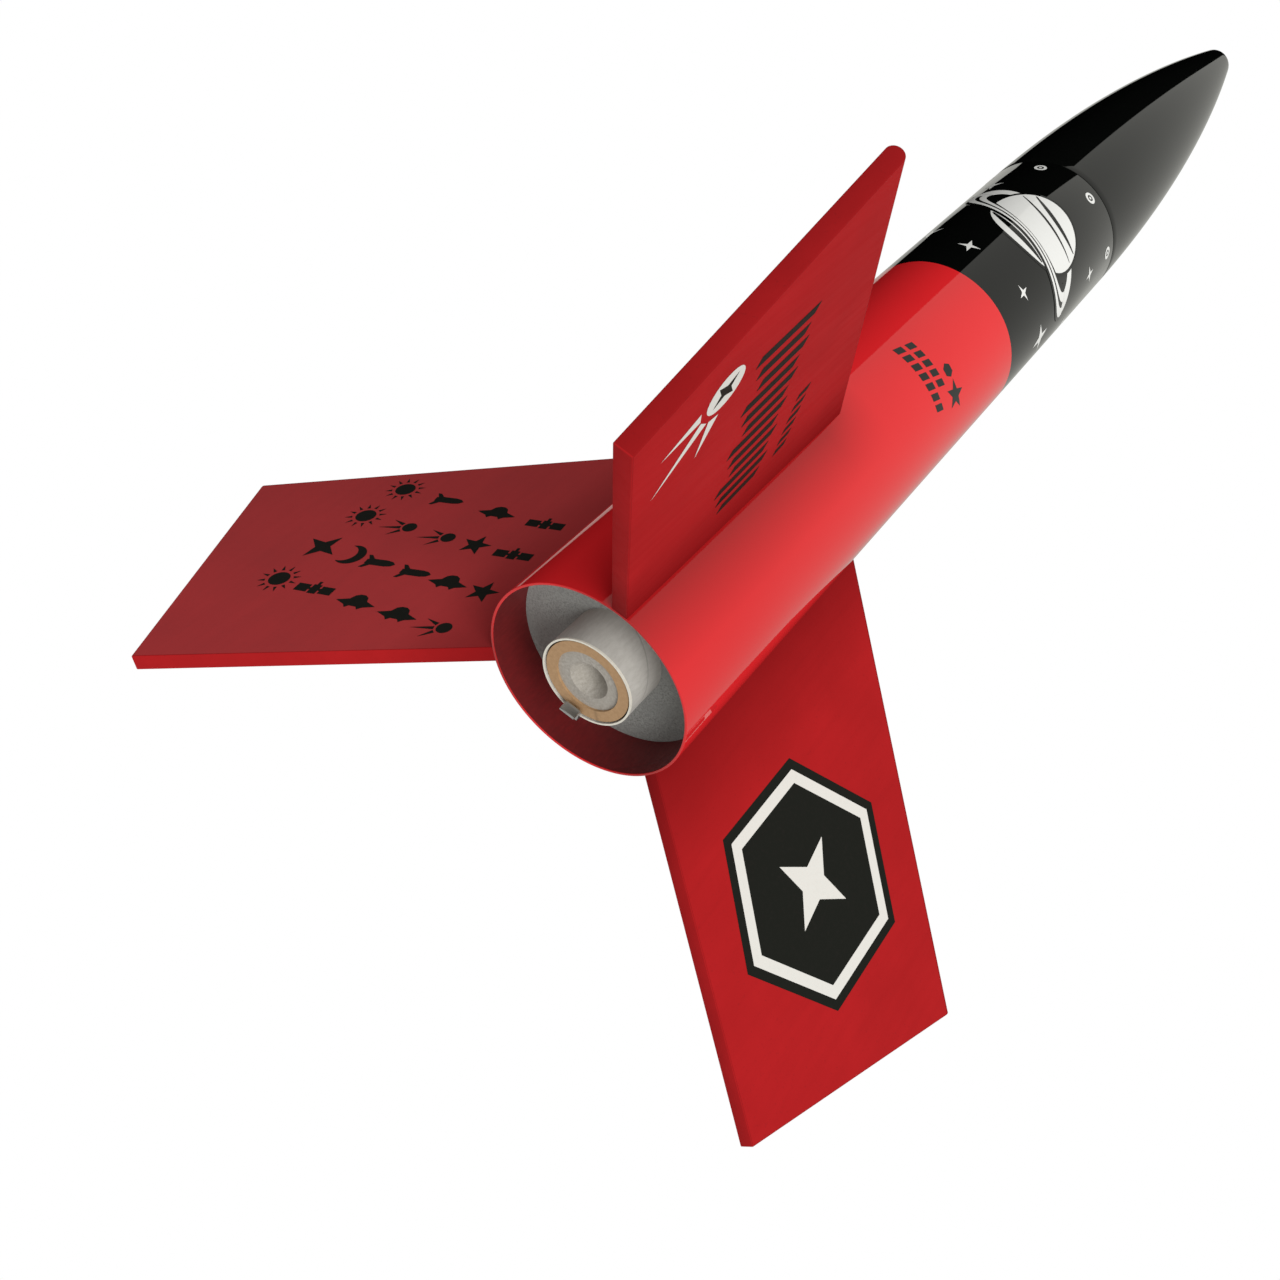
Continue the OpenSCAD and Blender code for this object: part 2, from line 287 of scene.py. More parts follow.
# fin_1's faces: the fin paint lifted evenly as a painted grey reflection.
PAINTED_SHEEN_FIN = fin_paint("red_satin_fin_painted_sheen", 1.0, 0.03)
BORE = paper("tube_bore_paper", (0.16, 0.010, 0.011), (0.11, 0.008, 0.009), 46.0, 0.55, 0.25)
KRAFT = paper("kraft_bore_paper", (0.42, 0.29, 0.17), (0.33, 0.22, 0.12), 46.0)
MOUNT_PAPER = paper("mount_tube_paper", (0.62, 0.60, 0.55), (0.50, 0.48, 0.43), 22.0, 0.7)
RIM = paper("cut_paper_rim", (0.86, 0.83, 0.72), (0.74, 0.70, 0.60), 22.0, 0.85, 0.0)
RING_GREY = speckled("grey_fibreboard", (0.29, 0.293, 0.275), (0.17, 0.172, 0.16), (0.44, 0.443, 0.415))
THRUST_CARD = speckled("thrust_card", (0.42, 0.30, 0.17), (0.33, 0.23, 0.13), (0.52, 0.39, 0.23), 1.4)
BAND_PAPER = paper("band_paper", (0.70, 0.66, 0.52), (0.58, 0.54, 0.42), 9.0)
CORD_CARD = speckled("cord_mount_card", (0.68, 0.64, 0.54), (0.56, 0.52, 0.43), (0.78, 0.75, 0.66), 1.2)
GLUE = gloss_paint("dried_glue_red", (0.62, 0.012, 0.016), (0.5, 0.010, 0.013))
CASING = paper("casing_paper", (0.50, 0.31, 0.16), (0.40, 0.24, 0.12), 24.0, 0.65)
NOZZLE = speckled("nozzle_clay", (0.40, 0.37, 0.32), (0.30, 0.27, 0.23), (0.52, 0.49, 0.44), 1.8)
PROPELLANT = speckled("pressed_propellant", (0.02, 0.02, 0.02), (0.008, 0.008, 0.008),
                      (0.05, 0.05, 0.048), 2.0, 0.7)
DELAY = speckled("pressed_delay", (0.10, 0.09, 0.08), (0.06, 0.055, 0.05), (0.16, 0.15, 0.13), 2.0, 0.7)
CHARGE = speckled("loose_charge", (0.03, 0.03, 0.03), (0.01, 0.01, 0.01),
                  (0.09, 0.09, 0.085), 3.0, 0.75, 0.2)
CLAY = speckled("modelling_clay", (0.24, 0.18, 0.12), (0.17, 0.12, 0.08), (0.31, 0.24, 0.17), 0.8, 0.75, 0.2)
INK = print_ink("decal_black", (0.015, 0.016, 0.013), (0.026, 0.022, 0.020))
WHITE_INK = print_ink("decal_white", (0.80, 0.79, 0.73), (0.70, 0.69, 0.63))
GLOSS_INK = print_ink("decal_black_gloss", (0.010, 0.011, 0.009), (0.016, 0.015, 0.013), 1.0)
GLOSS_WHITE = print_ink("decal_white_gloss", (0.92, 0.92, 0.88), (0.84, 0.84, 0.79), 1.0)


def spring_steel():
    n = Nodes("spring_steel")
    brushed = n.noise(1.0, 4, 0.6, stretch=(1, 1, 0.06))
    stain = n.ramp(n.noise(0.25, 4), 0.45, 0.75)
    color = n.mix(stain, (0.56, 0.57, 0.58), (0.40, 0.38, 0.36))
    return n.finish(color, n.ramp(brushed, 0.2, 0.8, 0.24, 0.42), n.bump(brushed, 0.006), Metallic=1.0)


STEEL = spring_steel()


# ---------------------------------------------------------------- mesh helpers
def placed(name, me, mats, sharp):
    """An object of a mesh, with its materials and with edges over that angle, in degrees, kept sharp."""
    for mat in mats:
        me.materials.append(mat)
    me.shade_smooth()
    me.set_sharp_from_angle(angle=math.radians(sharp))
    ob = bpy.data.objects.new(name, me)
    bpy.context.collection.objects.link(ob)
    return ob


def mesh_object(name, verts, faces, mats, slots=None, sharp=35):
    me = bpy.data.meshes.new(name)
    me.from_pydata([tuple(v) for v in verts], [], faces)
    if slots:
        me.polygons.foreach_set("material_index", slots)
    me.validate()
    return placed(name, me, mats, sharp)


def bmesh_object(name, bm, mats, sharp):
    me = bpy.data.meshes.new(name)
    bm.to_mesh(me)
    bm.free()
    return placed(name, me, mats, sharp)


def lathe(name, outline, mats, spans=None, steps=192):
    """Turns (radius, height) points about the Z axis. spans gives a material slot per step of the outline."""
    verts, faces, slots, rows = [], [], [], []
    for r, z in outline:
        if r < 1e-7:
            rows.append([len(verts)])
            verts.append((0, 0, z))
        else:
            rows.append(list(range(len(verts), len(verts) + steps)))
            verts += [(r * math.cos(TAU * k / steps), r * math.sin(TAU * k / steps), z) for k in range(steps)]
    for i in range(len(rows) - 1):
        a, b = rows[i], rows[i + 1]
        for k in range(steps):
            j = (k + 1) % steps
            if len(a) == 1:
                faces.append((a[0], b[j], b[k]))
            elif len(b) == 1:
                faces.append((a[k], a[j], b[0]))
            else:
                faces.append((a[k], a[j], b[j], b[k]))
            slots.append(spans[i] if spans else 0)
    return mesh_object(name, verts, faces, mats, slots)


def direction(az_deg):
    a = math.radians(az_deg)
    return Vector((math.cos(a), math.sin(a), 0)), Vector((-math.sin(a), math.cos(a), 0))


# ---------------------------------------------------------------- body tube
def round_lip(r_in, r_out, z, down, size=0.12 * MM, steps=3):
    """Points round the end of a thin wall, from the inside to the outside."""
    s = -1 if down else 1
    pts = []
    for i in range(steps + 1):
        a = math.pi / 2 * i / steps
        pts.append((r_in + size - size * math.cos(a), z - s * size + s * size * math.sin(a)))
    for i in range(steps + 1):
        a = math.pi / 2 * (1 - i / steps)
        pts.append((r_out - size + size * math.cos(a), z - s * size + s * size * math.sin(a)))
    return pts


RED_SLOT, BORE_SLOT, BLACK_SLOT, KRAFT_SLOT = range(4)
SPRAY_DEPTH = 14 * MM
MIDDLE = (BORE_R, TUBE_L * 0.5)
tail_lip = round_lip(BORE_R, TUBE_R, 0.0, True)
top_lip = list(reversed(round_lip(BORE_R, TUBE_R, TUBE_L, False)))
red_side = [(TUBE_R, share * PAINT_LINE) for share in (0.25, 0.5, 0.75)]
red_side += [(TUBE_R, PAINT_LINE - 0.02 * MM), (TUBE_R, PAINT_LINE)]
black_side = [(TUBE_R, PAINT_LINE + 0.4 * (TUBE_L - PAINT_LINE))]
# Down the bore, round the tail's lip, up the outside and back over the top lip.
sections = (
    (KRAFT_SLOT, [(BORE_R, SPRAY_DEPTH)]),
    (BORE_SLOT, tail_lip[:1]),
    (RED_SLOT, tail_lip[1:] + red_side),
    (BLACK_SLOT, black_side + top_lip),
    (KRAFT_SLOT, [MIDDLE]),
)
outline = [MIDDLE] + [point for _, points in sections for point in points]
spans = [slot for slot, points in sections for _ in points]
body = lathe("body_tube_shell", outline, [RED, BORE, BLACK, KRAFT], spans, 256)
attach(body, "airframe")
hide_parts("body_tube")

# ---------------------------------------------------------------- nose cone
NOSE_L = nose_hi.z - SEAM_Z
TIP_R = 5.8 * MM
NOSE_WALL = 1.5 * MM
SHOULDER_R = BORE_R - 0.07 * MM
CHAMFER = 0.6 * MM
SEAM_GROOVE = 0.4 * MM
SEAM_EDGE = 0.035 * MM
OGIVE_STEPS, BALL_STEPS = 60, 14
# The ogive leaves the tube along the axis and meets the ball of the tip on a common tangent.
ball_x = NOSE_L - TIP_R
ogive_r = (ball_x ** 2 + TUBE_R ** 2 - TIP_R ** 2) / (2 * (TUBE_R - TIP_R))
meet_x = ball_x * ogive_r / (ogive_r - TIP_R)
meet_a = math.atan2((ogive_r - TUBE_R) * TIP_R / (ogive_r - TIP_R), meet_x - ball_x)


def ogive(x):
    return math.sqrt(ogive_r ** 2 - x * x) + TUBE_R - ogive_r


outline = [(SHOULDER_R - NOSE_WALL, nose_lo.z + 8 * MM), (SHOULDER_R - NOSE_WALL, nose_lo.z),
           (SHOULDER_R - CHAMFER, nose_lo.z), (SHOULDER_R, nose_lo.z + CHAMFER),
           (SHOULDER_R, SEAM_Z - SEAM_GROOVE), (SHOULDER_R - 0.05 * MM, SEAM_Z),
           (TUBE_R - 0.12 * MM, SEAM_Z), (TUBE_R - SEAM_EDGE, SEAM_Z + SEAM_EDGE)]
for i in range(OGIVE_STEPS + 1):
    x = max(4 * SEAM_EDGE, meet_x * i / OGIVE_STEPS)
    outline.append((ogive(x), SEAM_Z + x))
for i in range(1, BALL_STEPS + 1):
    a = meet_a * (1 - i / BALL_STEPS)
    outline.append((TIP_R * math.sin(a), SEAM_Z + ball_x + TIP_R * math.cos(a)))
nose = lathe("nose_cone_shell", outline, [NOSE_BLACK], None, 256)
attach(nose, "nose")
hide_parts("nose_cone")

# ---------------------------------------------------------------- fins
# Corners of the outline: distance from the axis and height.
REAR = (82.2 * MM, FIN_LO.z)
FRONT = (FIN_HI.y, 27.4 * MM)
ROOT_L = 76.7 * MM
ROOT_R = TUBE_R - 0.3 * MM
LEAD_SLOPE = (FRONT[1] - ROOT_L) / (FRONT[0] - TUBE_R)
REAR_SLOPE = REAR[1] / (REAR[0] - TUBE_R)
EDGE_ROUND = FIN_T / 2 * 0.985
CORNER = 0.22 * MM
SQUARE_ANGLE = math.radians(50)


def fin(name):
    """A board with a round leading edge and slightly broken corners. Its root runs into the tube's wall."""
    radial, side = direction(FIN_AZ[name])
    plan = [(ROOT_R, REAR_SLOPE * (ROOT_R - TUBE_R)), REAR, FRONT,
            (ROOT_R, ROOT_L + LEAD_SLOPE * (ROOT_R - TUBE_R))]
    bm = bmesh.new()
    rows = [[bm.verts.new(radial * r + side * s * FIN_T / 2 + Vector((0, 0, z))) for r, z in plan]
            for s in (-1, 1)]
    bm.faces.new(rows[1])
    bm.faces.new(list(reversed(rows[0])))
    for i in range(4):
        j = (i + 1) % 4
        bm.faces.new([rows[0][i], rows[0][j], rows[1][j], rows[1][i]])
    leading = [bm.edges.get((row[2], row[3])) for row in rows]
    bmesh.ops.bevel(bm, geom=leading, offset=EDGE_ROUND, segments=10, profile=0.5, affect="EDGES",
                    clamp_overlap=False)
    square = []
    for e in bm.edges:
        if len(e.link_faces) != 2 or e.calc_face_angle(0) < SQUARE_ANGLE:
            continue
        reach = [v.co.dot(radial) for v in e.verts]
        if max(reach) > ROOT_R + MM or min(reach) > ROOT_R + 0.01 * MM:
            square.append(e)
    bmesh.ops.bevel(bm, geom=square, offset=CORNER, segments=3, profile=0.5, affect="EDGES",
                    clamp_overlap=True)
    bmesh.ops.recalc_face_normals(bm, faces=bm.faces)
    bm.normal_update()
    # Painted shade: faces other than the flat sides take the darkened edge paint, except faces turned down,
    # which keep the plain paint.
    for face in bm.faces:
        if abs(face.normal.dot(side)) < 0.98:
            face.material_index = 1 if face.normal.z > -0.6 else 2
    # fin_1's faces take the paint with the painted grey reflection.
    face_paint = PAINTED_SHEEN_FIN if name == "fin_1" else RED_FIN
    ob = bmesh_object(name + "_board", bm, [face_paint, RED_FIN_SHADED_EDGE, RED_FIN], 24)
    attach(ob, "airframe")
    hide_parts(name)


for fin_name in FIN_AZ:
    fin(fin_name)

# ---------------------------------------------------------------- CAD nodes that stay
for node, mat in {
    "launch_lug": LUG_RED, "lug_glue": GLUE, "motor_mount_tube": MOUNT_PAPER, "aft_centering_ring": RING_GREY,
    "forward_centering_ring": RING_GREY, "thrust_ring": THRUST_CARD, "hook_band": BAND_PAPER,
    "shock_cord_mount": CORD_CARD, "nose_base": NOSE_BLACK, "nose_weight": CLAY, "motor_casing": CASING,
    "motor_nozzle": NOZZLE, "propellant_grain": PROPELLANT, "delay_grain": DELAY, "ejection_charge": CHARGE,
    "motor_clay_cap": NOZZLE,
}.items():
    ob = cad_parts[node]
    for slot in ob.material_slots:
        slot.link = "OBJECT"
        slot.material = mat

# Cut rim of the motor mount tube, left unpainted: a thin cap over the tube's own end.
MOUNT_WALL = 0.35 * MM
rim_in, rim_out, rim_end = MOUNT_R - MOUNT_WALL, MOUNT_R + 0.015 * MM, -0.02 * MM
rim_outline = [(rim_in, 1.2 * MM), (rim_in, rim_end), (rim_out, rim_end), (rim_out, 0.35 * MM)]
rim = lathe("motor_tube_rim", rim_outline, [RIM], None, 160)
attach(rim, "airframe")


# ---------------------------------------------------------------- motor hook
HOOK_W, HOOK_T = 3.2 * MM, 0.6 * MM
HOOK_R = MOUNT_R + 0.3 * MM + HOOK_T / 2
HOOK_REACH = 3.2 * MM
HOOK_LIP = 2 * MM
HOOK_BEND = 0.7 * MM


def hook_path():
    """Middle of the strip from its front bend to its lip, as (radius, height) points."""
    reach = HOOK_R - HOOK_T / 2 - HOOK_REACH
    top = hook_hi.z - HOOK_T / 2
    tail = hook_lo.z + HOOK_LIP + HOOK_T / 2
    steps, bend = 28, HOOK_BEND

    def arc(r, z, start, end):
        turns = [math.radians(start + (end - start) * i / 6) for i in range(7)]
        return [(r + bend * math.cos(t), z + bend * math.sin(t)) for t in turns]

    path = [(reach, top)] + arc(HOOK_R - bend, top - bend, 90, 0)
    path += [(HOOK_R, top - bend - (top - tail - 2 * bend) * i / steps) for i in range(1, steps)]
    path += arc(HOOK_R - bend, tail + bend, 0, -90)
    path += arc(reach + HOOK_T / 2 + bend, tail - bend, 90, 180)
    return path + [(reach + HOOK_T / 2, hook_lo.z)]


def hook():
    radial, side = direction(HOOK_AZ)
    path = hook_path()
    verts, faces = [], []
    half_w, half_t = HOOK_W / 2, HOOK_T / 2
    section = [(-half_w, -half_t), (half_w, -half_t), (half_w, half_t), (-half_w, half_t)]
    for i, (r, z) in enumerate(path):
        a, b = path[max(0, i - 1)], path[min(len(path) - 1, i + 1)]
        d = Vector((b[0] - a[0], 0, b[1] - a[1])).normalized()
        n = Vector((d.z, 0, -d.x))
        for u, v in section:
            verts.append(radial * (r + n.x * v) + side * u + Vector((0, 0, z + n.z * v)))
    for i in range(len(path) - 1):
        for k in range(4):
            j = (k + 1) % 4
            faces.append((4 * i + k, 4 * i + j, 4 * i + 4 + j, 4 * i + 4 + k))
    faces.append((3, 2, 1, 0))
    last = 4 * (len(path) - 1)
    faces.append((last, last + 1, last + 2, last + 3))
    ob = mesh_object("motor_hook_spring", verts, faces, [STEEL], None, 40)
    edge = ob.modifiers.new("edge", "BEVEL")
    edge.width = 0.1 * MM
    edge.segments = 2
    edge.limit_method = "ANGLE"
    edge.angle_limit = math.radians(60)
    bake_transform(ob)
    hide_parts("motor_hook")


hook()


# ---------------------------------------------------------------- decals
# Decals are thin films on the paint, one layer's height apart where they overlap. Their outlines are
# in millimetres.
LAYER = 0.02 * MM
COLUMN = 1.2


def inside(p, loops):
    """Whether a point lies inside closed loops, even-odd."""
    hit = False
    for loop in loops:
        for i in range(len(loop)):
            (x0, y0), (x1, y1) = loop[i - 1], loop[i]
            if (y0 > p[1]) != (y1 > p[1]) and p[0] < x0 + (p[1] - y0) * (x1 - x0) / (y1 - y0):
                hit = not hit
    return hit


def fill(loops, column=None):
    """Triangles inside closed loops. column adds upright cuts at that spacing so that the film can bend."""
    pts, edges = [], []
    for loop in loops:
        base = len(pts)
        pts += [Vector(p) for p in loop]
        edges += [(base + i, base + (i + 1) % len(loop)) for i in range(len(loop))]
    if column:
        lo, hi = min(p.x for p in pts), max(p.x for p in pts)
        y0, y1 = min(p.y for p in pts) - 1, max(p.y for p in pts) + 1
        for i in range(int((hi - lo) / column) + 1):
            x = lo + (i + 0.5) * column
            edges.append((len(pts), len(pts) + 1))
            pts += [Vector((x, y0)), Vector((x, y1))]
    verts, _, tris = delaunay_2d_cdt(pts, edges, [], 0, 1e-6)[:3]
    keep = [t for t in tris if inside(sum((verts[i] for i in t), Vector((0, 0))) / 3, loops)]
    used = sorted({i for t in keep for i in t})
    order = {v: k for k, v in enumerate(used)}
    return [verts[i] for i in used], [tuple(order[i] for i in t) for t in keep]


def film(name, loops, place, mat, column=None):
    """A print of the loops, laid where place(x, y) puts them and facing outward."""
    verts, faces = fill(loops, column)
    pts = [place(v.x, v.y) for v in verts]
    first, second, third = (pts[i] for i in faces[0])
    outward = place(*verts[faces[0][0]], 1.0) - first
    if (second - first).cross(third - first).dot(outward) < 0:
        faces = [tuple(reversed(f)) for f in faces]
    ob = mesh_object(name, pts, faces, [mat])
    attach(ob, "airframe")
    return ob


def on_tube(az, z, layer):
    """Places millimetres round and up from a point on the tube."""
    r = TUBE_R + LAYER * layer

    def place(u, v, lift=0.0):
        a = math.radians(az) + u * MM / TUBE_R
        return Vector(((r + lift) * math.cos(a), (r + lift) * math.sin(a), z * MM + v * MM))
    return place


def on_fin(name, side_sign, layer):
    """Places millimetres from the axis and up, on one face of a fin."""
    radial, side = direction(FIN_AZ[name])
    h = FIN_T / 2 + LAYER * layer

    def place(u, v, lift=0.0):
        return radial * u * MM + side * side_sign * (h + lift) + Vector((0, 0, v * MM))
    return place


def moved(loop, x=0, y=0, turn=0, scale=1):
    c, s = math.cos(math.radians(turn)) * scale, math.sin(math.radians(turn)) * scale
    return [(x + p[0] * c - p[1] * s, y + p[0] * s + p[1] * c) for p in loop]


def disc(r, n=48):
    return [(r * math.cos(TAU * i / n), r * math.sin(TAU * i / n)) for i in range(n)]


def hexagon(r):
    return disc(r, 6)


def star(r, points=5, inner=0.42):
    """Points at radius r, and notches at that share of it."""
    turns = [TAU * i / (2 * points) for i in range(2 * points)]
    radii = [r, r * inner] * points
    return [(radius * math.sin(t), radius * math.cos(t)) for radius, t in zip(radii, turns)]


def bar(x0, y0, x1, y1, slant):
    return [(x0 + slant * y0, y0), (x1 + slant * y0, y0), (x1 + slant * y1, y1), (x0 + slant * y1, y1)]


def arc_strip(a, b, inner, start, end, n=48):
    """Part of an elliptical ring, in degrees. inner is the share of each radius left open."""
    turn = [math.radians(start + (end - start) * i / n) for i in range(n + 1)]
    out = [(a * math.cos(t), b * math.sin(t)) for t in turn]
    return out + [(x * inner, y * inner) for x, y in reversed(out)]


def crescent(r, n=20):
    outer = [math.radians(60 + 240 * i / n) for i in range(n + 1)]
    inner = [math.radians(268 - 176 * i / n) for i in range(n + 1)]
    back = [(r * 0.5 + r * 0.84 * math.cos(t), r * 0.84 * math.sin(t)) for t in inner]
    return [(r * math.cos(t), r * math.sin(t)) for t in outer] + back


def comet(r):
    """Round head with three separate tapered tails."""
    tails = [moved([(-1.3 * r, -0.3 * r), (-length * r, 0), (-1.3 * r, 0.3 * r)], turn=turn)
             for length, turn in ((4.4, 0), (3.3, 33), (3.3, -33))]
    return [disc(r, 24)] + tails


ROCKET = [(4.2, 0), (3.2, 0.9), (1.6, 1.25), (-2.2, 1.25), (-3.6, 2.6), (-4.6, 2.6), (-3.6, 0.9), (-4.0, 0.9),
          (-4.0, -0.9), (-3.6, -0.9), (-4.6, -2.6), (-3.6, -2.6), (-2.2, -1.25), (1.6, -1.25), (3.2, -0.9)]
SAUCER = [(-5, -0.5), (-2.2, 0.6), (-1.6, 1.9), (-0.6, 2.5), (0.6, 2.5), (1.6, 1.9), (2.2, 0.6), (5, -0.5),
          (2.4, -1.5), (1.6, -2.4), (0.9, -1.6), (-0.9, -1.6), (-1.6, -2.4), (-2.4, -1.5)]
PROBE = [(-5, -1.4), (-1.6, -1.4), (-1.6, -0.4), (-1.1, -0.4), (-1.1, -1.7), (1.1, -1.7), (1.1, -0.4),
         (1.6, -0.4), (1.6, -1.4), (5, -1.4), (5, 1.4), (1.6, 1.4), (1.6, 0.4), (1.1, 0.4), (1.1, 1.7),
         (0.4, 1.7), (0.4, 2.9), (-0.4, 2.9), (-0.4, 1.7), (-1.1, 1.7), (-1.1, 0.4), (-1.6, 0.4),
         (-1.6, 1.4), (-5, 1.4)]


def sun(r):
    """Round sun with twelve separate rays."""
    rays = []
    for i in range(12):
        t = TAU * i / 12
        ray = [(-0.35, 0), (0.35, 0), (0.0, r * 0.36)]
        rays.append(moved(ray, r * 0.66 * math.cos(t), r * 0.66 * math.sin(t), turn=math.degrees(t) - 90))
    return [disc(r * 0.5, 28)] + rays


def planet_stripe(size, y, half, n=16):
    """A sagging stripe that thins towards both sides, as shares of the planet's size."""
    top, low = [], []
    for i in range(n + 1):
        across = -1 + 2 * i / n
        x = across * math.sqrt(max(0.0, 1 - y * y)) * 0.93
        sag = 0.13 * (1 - across * across)
        h = half * (1 - 0.75 * across * across)
        top.append((size * x, size * (y + h - sag)))
        low.append((size * x, size * (y - h - sag)))
    return top + low[::-1]


def planet(name, place, size, tilt, ink, ground):
    """Banded planet with a tilted ring, as a stack of thin prints. place(layer) maps its millimetres."""
    def layer_of(part, level, loops, mat):
        film(name + part, [moved(loop, turn=tilt) for loop in loops], place(level), mat, COLUMN)

    wide, high = size * 1.85, size * 0.56
    stripes = [planet_stripe(size, y, half) for y, half in ((0.66, 0.06), (0.42, 0.035), (-0.62, 0.075))]
    ring = [arc_strip(wide, high, 0.74, 168, 372), arc_strip(wide * 0.9, high * 0.9, 0.93, 176, 364)]
    layer_of("_ring_back", 2, [arc_strip(wide, high, 0.74, 15, 165)], ink)
    layer_of("_disc_edge", 3, [disc(size * 1.07, 72)], ground)
    layer_of("_disc", 4, [disc(size, 72)], ink)
    layer_of("_stripes", 5, stripes, ground)
    layer_of("_ring_edge", 6, [arc_strip(wide * 1.05, high * 1.14, 0.62, 171, 369)], ground)
    layer_of("_ring_front", 7, ring, ink)


# Emblem on the black band, nearly in line with fin_2.
EMBLEM_AZ, EMBLEM_Z = 217, 182.5
planet("emblem", lambda layer: on_tube(EMBLEM_AZ, EMBLEM_Z, layer), 13.4, -17, GLOSS_WHITE, BLACK)
SPARKLES = ((-21, 15.5, 3.4), (-24.5, -17, 4.2), (21, 15, 2.6), (24, -19.5, 4.4), (9, -25.5, 2.4),
            (-9, -26, 3.0), (-31, 3, 2.4), (30, 1, 2.6))
film("emblem_stars", [moved(star(size, 4, 0.28), x, y, turn=12) for x, y, size in SPARKLES],
     on_tube(EMBLEM_AZ, EMBLEM_Z, 2), GLOSS_WHITE, COLUMN)

# Row of eight ring marks round the tube, under the seam.
RIVET_AZ, RIVET_Z = 183.2, 211.3
rivets = []
for i in range(8):
    round_tube = TUBE_R / MM * math.radians(45 * i)
    rivets += [moved(disc(r, n), round_tube) for r, n in ((1.75, 28), (0.95, 20), (0.45, 12))]
film("band_rivet_marks", rivets, on_tube(RIVET_AZ, RIVET_Z, 2), GLOSS_WHITE, COLUMN)

# Two rows of slanted blocks with a star and a hexagon, on the red tube.
MARKS_AZ, MARKS_Z = 211.5, 106.8
BLOCK_PITCH, BLOCK_W = 2.6, 1.7
marks = []
for count, low, high in ((5, 0, 2.6), (7, -4.0, -1.2)):
    marks += [bar(BLOCK_PITCH * i, low, BLOCK_PITCH * i + BLOCK_W, high, 0.25) for i in range(count)]
marks += [moved(star(3.6, 5), 16.5, 5.4), moved(hexagon(1.7), 10.8, 6.2)]
film("tube_marks", marks, on_tube(MARKS_AZ, MARKS_Z, 2), GLOSS_INK, COLUMN)

# Rows of small signs, on both faces of fin_1: a height, then each sign with its distance from the axis.
SIGNS = {
    "sun": sun(4.3),
    "star": [star(3.4, 5)],
    "spark": [moved(star(4.4, 4, 0.36), turn=20)],
    "moon": [crescent(3.2)],
    "comet": [moved(loop, -2.0, 0, turn=160) for loop in comet(1.55)],
    "rocket": [moved(ROCKET, turn=170, scale=0.82)],
    "saucer": [moved(SAUCER, turn=-6, scale=0.9)],
    "probe": [moved(PROBE, turn=-8, scale=0.84)],
}
SIGN_ROWS = (
    (37.0, ((74.6, "sun"), (62.5, "rocket"), (49.5, "saucer"), (37.2, "probe"))),
    (25.6, ((75.2, "sun"), (65.2, "comet"), (55.0, "comet"), (45.9, "star"), (36.4, "probe"))),
    (13.2, ((75.2, "spark"), (67.6, "moon"), (59.8, "rocket"), (50.6, "rocket"), (42.2, "saucer"),
            (33.8, "star"))),
    (1.2, ((75.0, "sun"), (65.6, "probe"), (54.6, "saucer"), (44.2, "saucer"), (35.0, "comet"))),
)
signs = [moved(loop, x, y) for y, row in SIGN_ROWS for x, kind in row for loop in SIGNS[kind]]
for face, side_sign in (("a", 1), ("b", -1)):
    film("fin_1_signs_" + face, signs, on_fin("fin_1", side_sign, 2), INK)

# Hexagon badge, on both faces of fin_3.
BADGE = (60.9, 16.0)
BADGE_TURN = 29.6


def on_badge(*loops):
    return [moved(loop, *BADGE, turn=BADGE_TURN) for loop in loops]


for face, side_sign in (("a", -1), ("b", 1)):
    film("fin_3_badge_" + face, on_badge(hexagon(24.5)), on_fin("fin_3", side_sign, 2), INK)
    over = on_fin("fin_3", side_sign, 3)
    film("fin_3_badge_line_" + face, on_badge(hexagon(22.3), hexagon(19.6)), over, WHITE_INK)
    film("fin_3_badge_star_" + face, on_badge(star(9.5, 4, 0.36)), over, WHITE_INK)

# Two runs of speed bars and a comet, on both faces of fin_2.
ICON = (79.0, -4.5)
ICON_TURN = 33
BARS = 12
bars = []
for i in range(BARS):
    share = i / (BARS - 1)
    long_bar = bar(-1.25, -7.6 + 1.4 * (i % 3), 1.25, 7.2 - 1.1 * (i % 2), 0.35)
    bars.append(moved(long_bar, 80 - 47 * share, 12.5 + 14.5 * share, turn=10))
bars += [moved(bar(-0.9, -1.7, 0.9, 1.7, 0.3), 52 - 3.4 * i, 37.0 + 0.75 * i) for i in range(6)]
head_and_tails = [moved(loop, *ICON, turn=ICON_TURN) for loop in comet(4.3)]
head_star = [moved(star(3.3, 4, 0.36), *ICON, turn=ICON_TURN)]
for face, side_sign in (("a", 1), ("b", -1)):
    film("fin_2_bars_" + face, bars, on_fin("fin_2", side_sign, 2), INK)
    film("fin_2_icon_" + face, head_and_tails, on_fin("fin_2", side_sign, 2), WHITE_INK)
    film("fin_2_icon_star_" + face, head_star, on_fin("fin_2", side_sign, 3), INK)


# ---------------------------------------------------------------- recovery gear
# The canopy is cut as an octagon, and a gore is as wide as one of its sides.
CHUTE_ACROSS = 0.305
GORE_W = CHUTE_ACROSS * (math.sqrt(2) - 1)
CHUTE_AREA = 2 * CHUTE_ACROSS * GORE_W
ALONG = "along_strip"


